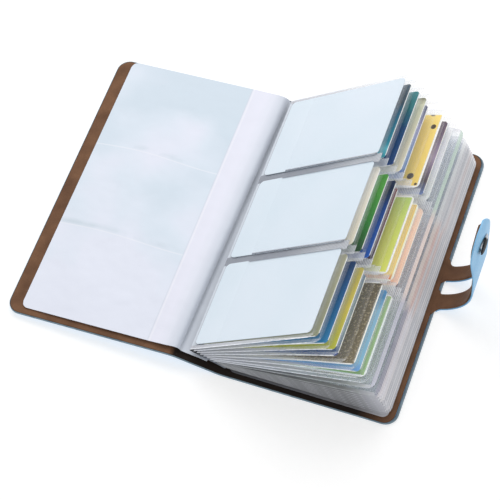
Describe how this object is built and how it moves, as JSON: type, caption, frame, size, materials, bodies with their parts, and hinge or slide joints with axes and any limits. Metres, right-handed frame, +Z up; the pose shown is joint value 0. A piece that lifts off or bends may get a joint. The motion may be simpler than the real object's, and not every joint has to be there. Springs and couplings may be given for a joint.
{
  "type": "business card organizer",
  "caption": "Card book lying open at its first leaf: soft covers, fanned clear pocket leaves with cards, and a slotted strap with a snap that wraps it shut.",
  "frame": {"origin": "middle of the back cover's underside, on the surface it lies on", "axes": "+X across the open book towards the strap, +Y along the spine towards the top edge, +Z up"},
  "size_m": [0.2639, 0.19, 0.093],
  "materials": {
    "blue_leather": "satin",
    "brown_suede": "matt",
    "clear_film": "frosted",
    "snap_steel": "polished",
    "snap_black": "gloss",
    "card_white": "smooth",
    "card_02_top": "smooth",
    "card_02_middle": "smooth",
    "card_02_bottom": "smooth",
    "card_03_top": "smooth",
    "card_03_middle": "smooth",
    "card_03_bottom": "smooth",
    "card_04_top": "smooth",
    "card_04_middle": "smooth",
    "card_04_bottom": "smooth",
    "card_05_top": "smooth",
    "card_05_middle": "smooth",
    "card_05_bottom": "smooth",
    "card_06_top": "smooth",
    "card_06_middle": "smooth",
    "card_06_bottom": "smooth",
    "card_07_top": "smooth",
    "card_07_middle": "smooth",
    "card_07_bottom": "smooth",
    "card_08_top": "smooth",
    "card_08_middle": "smooth",
    "card_08_bottom": "smooth"
  },
  "bodies": {
    "back_cover": {"back_cover_skin": "blue_leather", "back_cover_lining": "brown_suede"},
    "spine": {"spine_skin": "blue_leather", "spine_lining": "brown_suede"},
    "front_cover": {"front_cover_skin": "blue_leather", "front_cover_lining": "brown_suede", "snap_stud": "snap_steel"},
    "binding": {"binding_strip": "clear_film"},
    "leaf_00_margin": {"leaf_00_margin": "clear_film"},
    "leaf_00": {"leaf_00": "clear_film"},
    "leaf_01": {"leaf_01": "clear_film"},
    "leaf_02": {"leaf_02": "clear_film", "card_02_top": "card_02_top", "card_02_middle": "card_02_middle", "card_02_bottom": "card_02_bottom"},
    "leaf_03": {"leaf_03": "clear_film", "card_03_top": "card_03_top", "card_03_middle": "card_03_middle", "card_03_bottom": "card_03_bottom"},
    "leaf_04": {"leaf_04": "clear_film", "card_04_top": "card_04_top", "card_04_middle": "card_04_middle", "card_04_bottom": "card_04_bottom"},
    "leaf_05": {"leaf_05": "clear_film", "card_05_top": "card_05_top", "card_05_middle": "card_05_middle", "card_05_bottom": "card_05_bottom"},
    "leaf_06": {"leaf_06": "clear_film", "card_06_top": "card_06_top", "card_06_middle": "card_06_middle", "card_06_bottom": "card_06_bottom"},
    "leaf_07": {"leaf_07": "clear_film", "card_07_top": "card_07_top", "card_07_middle": "card_07_middle", "card_07_bottom": "card_07_bottom"},
    "leaf_08": {"leaf_08": "clear_film", "card_08_top": "card_08_top", "card_08_middle": "card_08_middle", "card_08_bottom": "card_08_bottom"},
    "leaf_09": {"leaf_09": "clear_film"},
    "leaf_10": {"leaf_10": "clear_film"},
    "leaf_11": {"leaf_11": "clear_film"},
    "leaf_12": {"leaf_12": "clear_film"},
    "leaf_13": {"leaf_13": "clear_film"},
    "leaf_14": {"leaf_14": "clear_film"},
    "leaf_15": {"leaf_15": "clear_film"},
    "leaf_16": {"leaf_16": "clear_film"},
    "leaf_17": {"leaf_17": "clear_film"},
    "leaf_18": {"leaf_18": "clear_film"},
    "card_01_top": {"card_01_top": "card_white"},
    "card_01_middle": {"card_01_middle": "card_white"},
    "card_01_bottom": {"card_01_bottom": "card_white"},
    "strap_legs": {"strap_legs_skin": "blue_leather", "strap_legs_lining": "brown_suede"},
    "strap_tongue": {"strap_tongue_skin": "blue_leather", "strap_tongue_lining": "brown_suede", "snap_cap": "snap_black", "snap_socket": "snap_steel"}
  },
  "joints": [
    {"name": "close_book", "type": "hinge", "parent": "back_cover", "child": "spine", "pos_m": [-0.053, 0, 0.002], "axis": [0, -1, 0], "range_deg": [-76.51, 0]},
    {"name": "front_cover_fold", "type": "hinge", "parent": "spine", "child": "front_cover", "pos_m": [-0.08218, 0, 0.009], "axis": [0, -1, 0], "range_deg": [-106.39, 0]},
    {"name": "binding_lean", "type": "hinge", "parent": "back_cover", "child": "binding", "pos_m": [-0.05, 0, 0.0035], "axis": [0, -1, 0], "range_deg": [-64.02, 0]},
    {"name": "leaf_00_root", "type": "hinge", "parent": "spine", "child": "leaf_00_margin", "pos_m": [-0.06471, 0, 0.00553], "axis": [0, -1, 0], "range_deg": [0, 6.52]},
    {"name": "leaf_00_fold", "type": "hinge", "parent": "leaf_00_margin", "child": "leaf_00", "pos_m": [-0.07975, 0, 0.011], "axis": [0, -1, 0], "range_deg": [-113.69, 0]},
    {"name": "leaf_01_turn", "type": "hinge", "parent": "leaf_02", "child": "leaf_01", "pos_m": [-0.07167, 0, 0.01407], "axis": [0, -1, 0], "range_deg": [0, 144]},
    {"name": "leaf_02_fan", "type": "hinge", "parent": "binding", "child": "leaf_02", "pos_m": [-0.06972, 0, 0.01312], "axis": [0, -1, 0], "range_deg": [0, 25.17]},
    {"name": "leaf_03_fan", "type": "hinge", "parent": "binding", "child": "leaf_03", "pos_m": [-0.06777, 0, 0.01217], "axis": [0, -1, 0], "range_deg": [0, 28.67]},
    {"name": "leaf_04_fan", "type": "hinge", "parent": "binding", "child": "leaf_04", "pos_m": [-0.06582, 0, 0.01122], "axis": [0, -1, 0], "range_deg": [0, 31.72]},
    {"name": "leaf_05_fan", "type": "hinge", "parent": "binding", "child": "leaf_05", "pos_m": [-0.06387, 0, 0.01026], "axis": [0, -1, 0], "range_deg": [0, 35.17]},
    {"name": "leaf_06_fan", "type": "hinge", "parent": "binding", "child": "leaf_06", "pos_m": [-0.06192, 0, 0.00931], "axis": [0, -1, 0], "range_deg": [0, 39.52]},
    {"name": "leaf_07_fan", "type": "hinge", "parent": "binding", "child": "leaf_07", "pos_m": [-0.05997, 0, 0.00836], "axis": [0, -1, 0], "range_deg": [0, 43.37]},
    {"name": "leaf_08_fan", "type": "hinge", "parent": "binding", "child": "leaf_08", "pos_m": [-0.05802, 0, 0.00741], "axis": [0, -1, 0], "range_deg": [0, 45.82]},
    {"name": "leaf_09_fan", "type": "hinge", "parent": "binding", "child": "leaf_09", "pos_m": [-0.05607, 0, 0.00646], "axis": [0, -1, 0], "range_deg": [0, 48.42]},
    {"name": "leaf_10_fan", "type": "hinge", "parent": "binding", "child": "leaf_10", "pos_m": [-0.05539, 0, 0.00613], "axis": [0, -1, 0], "range_deg": [0, 53.22]},
    {"name": "leaf_11_fan", "type": "hinge", "parent": "binding", "child": "leaf_11", "pos_m": [-0.05472, 0, 0.0058], "axis": [0, -1, 0], "range_deg": [0, 54.82]},
    {"name": "leaf_12_fan", "type": "hinge", "parent": "binding", "child": "leaf_12", "pos_m": [-0.05404, 0, 0.00547], "axis": [0, -1, 0], "range_deg": [0, 56.05]},
    {"name": "leaf_13_fan", "type": "hinge", "parent": "binding", "child": "leaf_13", "pos_m": [-0.05337, 0, 0.00514], "axis": [0, -1, 0], "range_deg": [0, 57.28]},
    {"name": "leaf_14_fan", "type": "hinge", "parent": "binding", "child": "leaf_14", "pos_m": [-0.0527, 0, 0.00482], "axis": [0, -1, 0], "range_deg": [0, 58.51]},
    {"name": "leaf_15_fan", "type": "hinge", "parent": "binding", "child": "leaf_15", "pos_m": [-0.05202, 0, 0.00449], "axis": [0, -1, 0], "range_deg": [0, 59.73]},
    {"name": "leaf_16_fan", "type": "hinge", "parent": "binding", "child": "leaf_16", "pos_m": [-0.05135, 0, 0.00416], "axis": [0, -1, 0], "range_deg": [0, 60.96]},
    {"name": "leaf_17_fan", "type": "hinge", "parent": "binding", "child": "leaf_17", "pos_m": [-0.05067, 0, 0.00383], "axis": [0, -1, 0], "range_deg": [0, 62.19]},
    {"name": "leaf_18_fan", "type": "hinge", "parent": "binding", "child": "leaf_18", "pos_m": [-0.05, 0, 0.0035], "axis": [0, -1, 0], "range_deg": [0, 63.42]},
    {"name": "strap_fold", "type": "hinge", "parent": "back_cover", "child": "strap_legs", "pos_m": [0.0532, 0, 0.002], "axis": [0, 1, 0], "range_deg": [-34, 22]},
    {"name": "tongue_fold", "type": "hinge", "parent": "strap_legs", "child": "strap_tongue", "pos_m": [0.07208, 0, 0.02999], "axis": [0, 1, 0], "range_deg": [-56, 68]},
    {"name": "card_01_top_slide", "type": "slide", "parent": "leaf_01", "child": "card_01_top", "axis": [0.7738, 0, 0.6334], "range_m": [-0.005, 0]},
    {"name": "card_01_middle_slide", "type": "slide", "parent": "leaf_01", "child": "card_01_middle", "axis": [0.7738, 0, 0.6334], "range_m": [-0.005, 0]},
    {"name": "card_01_bottom_slide", "type": "slide", "parent": "leaf_01", "child": "card_01_bottom", "axis": [0.7738, 0, 0.6334], "range_m": [-0.005, 0]}
  ],
  "couplings": [
    {"joint": "front_cover_fold", "follows": "close_book", "ratio": 1.3902},
    {"joint": "binding_lean", "follows": "close_book", "ratio": 0.83648},
    {"joint": "leaf_00_root", "follows": "close_book", "ratio": -0.084955},
    {"joint": "leaf_00_fold", "follows": "close_book", "ratio": 1.4856},
    {"joint": "leaf_02_fan", "follows": "close_book", "ratio": -0.32871},
    {"joint": "leaf_03_fan", "follows": "close_book", "ratio": -0.37446},
    {"joint": "leaf_04_fan", "follows": "close_book", "ratio": -0.41432},
    {"joint": "leaf_05_fan", "follows": "close_book", "ratio": -0.45941},
    {"joint": "leaf_06_fan", "follows": "close_book", "ratio": -0.51626},
    {"joint": "leaf_07_fan", "follows": "close_book", "ratio": -0.56658},
    {"joint": "leaf_08_fan", "follows": "close_book", "ratio": -0.59861},
    {"joint": "leaf_09_fan", "follows": "close_book", "ratio": -0.63259},
    {"joint": "leaf_10_fan", "follows": "close_book", "ratio": -0.69532},
    {"joint": "leaf_11_fan", "follows": "close_book", "ratio": -0.71624},
    {"joint": "leaf_12_fan", "follows": "close_book", "ratio": -0.73229},
    {"joint": "leaf_13_fan", "follows": "close_book", "ratio": -0.74835},
    {"joint": "leaf_14_fan", "follows": "close_book", "ratio": -0.76441},
    {"joint": "leaf_15_fan", "follows": "close_book", "ratio": -0.78046},
    {"joint": "leaf_16_fan", "follows": "close_book", "ratio": -0.79652},
    {"joint": "leaf_17_fan", "follows": "close_book", "ratio": -0.81258},
    {"joint": "leaf_18_fan", "follows": "close_book", "ratio": -0.82864}
  ]
}
